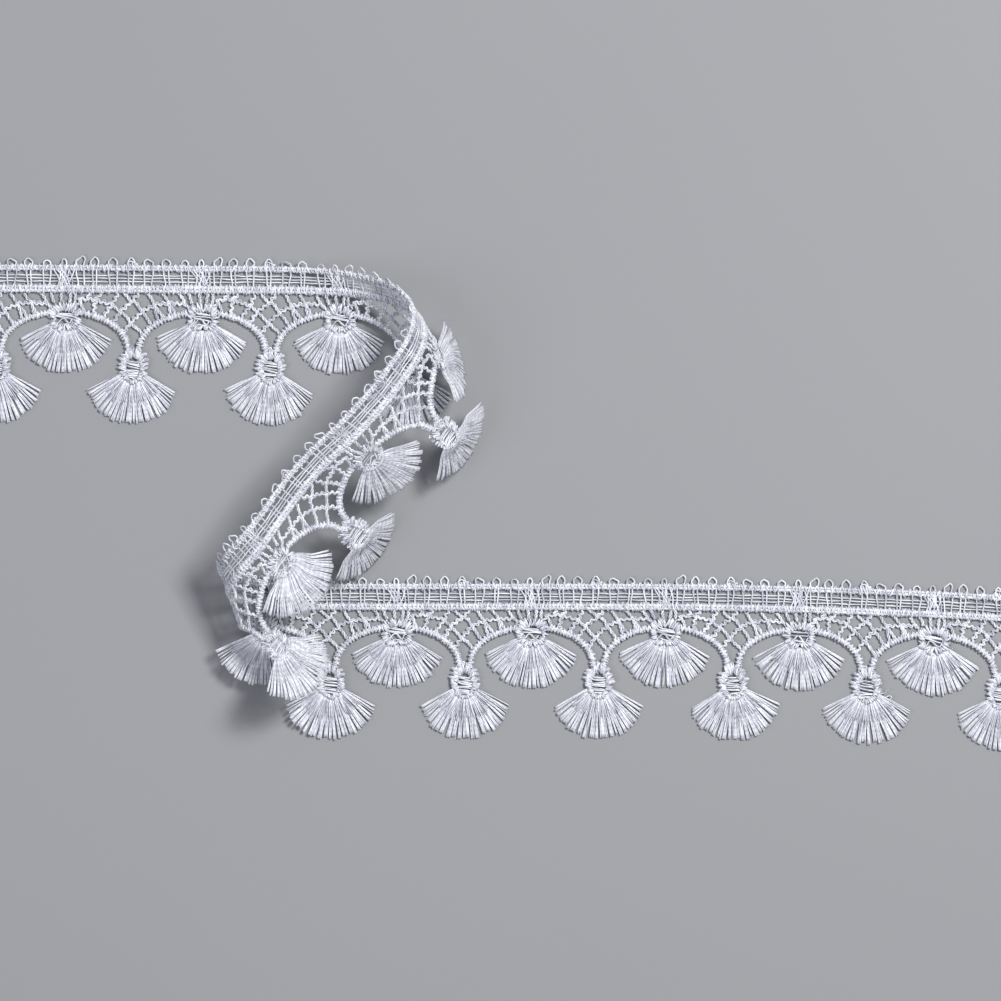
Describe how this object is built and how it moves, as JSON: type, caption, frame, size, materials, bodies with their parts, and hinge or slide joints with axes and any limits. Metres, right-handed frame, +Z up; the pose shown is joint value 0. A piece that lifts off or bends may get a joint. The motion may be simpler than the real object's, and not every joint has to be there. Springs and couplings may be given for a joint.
{
  "type": "guipure lace trim",
  "caption": "Guipure lace edging to sew on: picot edge, ladder heading, brides lattice, corded scallops and fans of cut thread, lying in one flat turn.",
  "frame": {"origin": "on the table, under the middle of the trim's layout", "axes": "+X along the two flat runs, +Y from the fans towards the picot edge of those runs, +Z up off the table"},
  "size_m": [0.2751, 0.1242, 0.0295],
  "materials": {
    "strip_thread": "white rayon embroidery thread, satin",
    "fan_thread": "white rayon embroidery thread, silky"
  },
  "bodies": {
    "root": {"lace_strip": "strip_thread", "fan_01": "fan_thread", "fan_02": "fan_thread", "fan_03": "fan_thread", "fan_04": "fan_thread", "fan_05": "fan_thread", "fan_06": "fan_thread", "fan_07": "fan_thread", "fan_08": "fan_thread", "fan_09": "fan_thread", "fan_10": "fan_thread", "fan_11": "fan_thread", "fan_12": "fan_thread", "fan_13": "fan_thread", "fan_14": "fan_thread", "fan_15": "fan_thread", "fan_16": "fan_thread", "fan_17": "fan_thread", "fan_18": "fan_thread", "fan_19": "fan_thread", "fan_20": "fan_thread", "fan_21": "fan_thread", "fan_22": "fan_thread", "fan_23": "fan_thread", "fan_24": "fan_thread", "fan_25": "fan_thread"}
  },
  "joints": []
}
